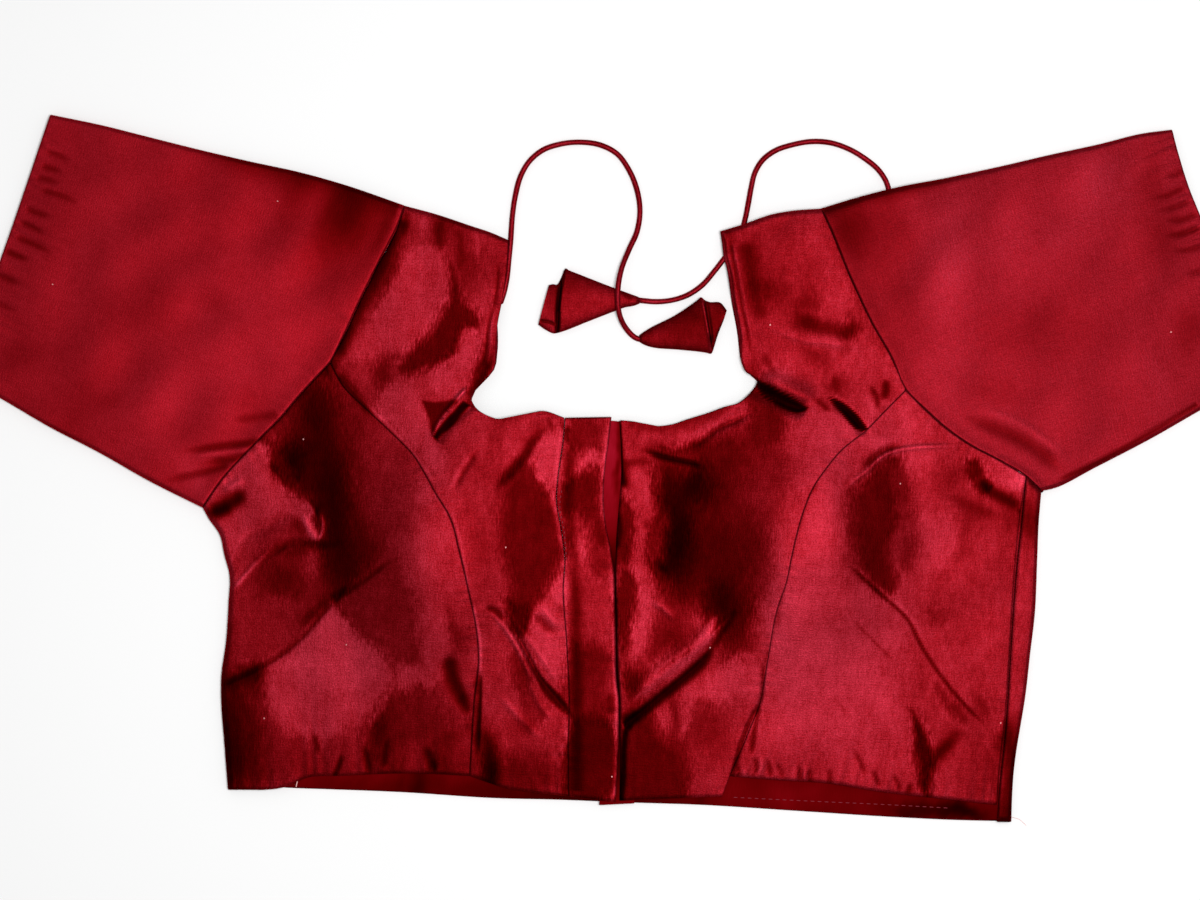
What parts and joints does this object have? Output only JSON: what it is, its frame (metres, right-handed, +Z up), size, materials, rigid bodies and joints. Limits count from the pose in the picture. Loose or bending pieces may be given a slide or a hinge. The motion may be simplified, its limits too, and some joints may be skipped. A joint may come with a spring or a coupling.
{
  "type": "choli blouse laid flat",
  "caption": "Princess-cut raw-silk choli blouse laid flat, front up, with elbow sleeves, a lapped front placket and tie cords with cloth cones at the open neck.",
  "frame": {"origin": "on the surface that the blouse lies on, under the middle of the garment's outline", "axes": "+X to the right of the front as seen from above, +Y towards the shoulders, +Z up from the surface"},
  "size_m": [0.775, 0.4232, 0.0176],
  "materials": {
    "silk": "deep crimson raw silk, satin sheen with slubs",
    "lining": "smooth crimson lining, matt",
    "cord": "dark crimson rolled silk cord"
  },
  "bodies": {
    "root": {"back_panel": "silk", "back_hem_facing": "lining", "front_left_centre": "silk", "front_left_side": "silk", "front_right_centre": "silk", "front_right_side": "silk", "placket_overlap": "silk", "placket_underlap": "lining", "sleeve_left": "silk", "sleeve_right": "silk", "dori_left": "cord", "dori_right": "cord", "latkan_left": "silk", "latkan_right": "silk"}
  },
  "joints": []
}
